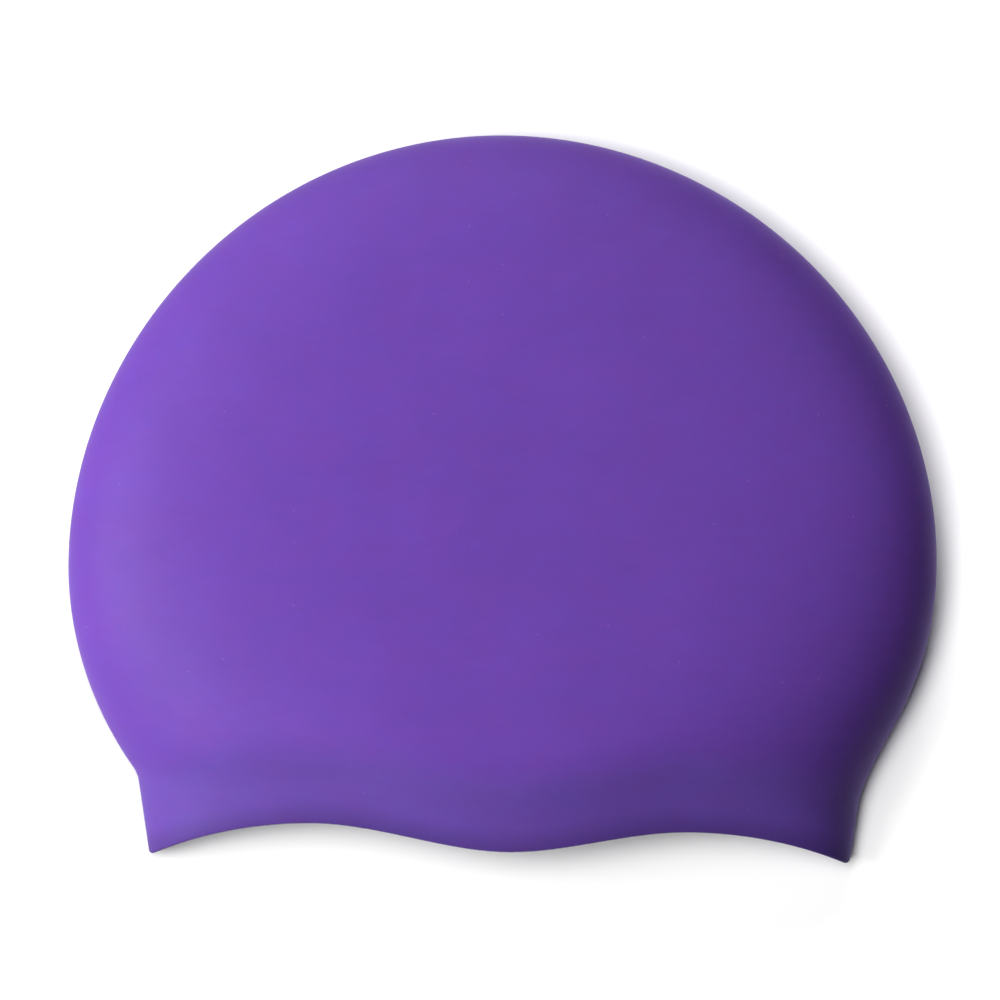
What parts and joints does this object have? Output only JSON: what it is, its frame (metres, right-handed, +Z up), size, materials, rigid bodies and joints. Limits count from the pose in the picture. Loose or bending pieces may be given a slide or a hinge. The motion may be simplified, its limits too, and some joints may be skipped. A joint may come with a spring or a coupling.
{
  "type": "swim cap",
  "caption": "Seamless moulded silicone swim cap lying on its side, with a round crown, a mouth band with an ear lobe, and an open hollow for the head.",
  "frame": {"origin": "middle of the cap's outline, on the surface that it lies on", "axes": "+X from the fold on the left of the picture to the fold on its right, +Y from the mouth to the top of the crown, +Z up from the table"},
  "size_m": [0.225, 0.1886, 0.036],
  "materials": {
    "silicone": "semi-matte moulded silicone, faintly cloudy"
  },
  "bodies": {
    "root": {"cap_shell": "silicone"}
  },
  "joints": []
}
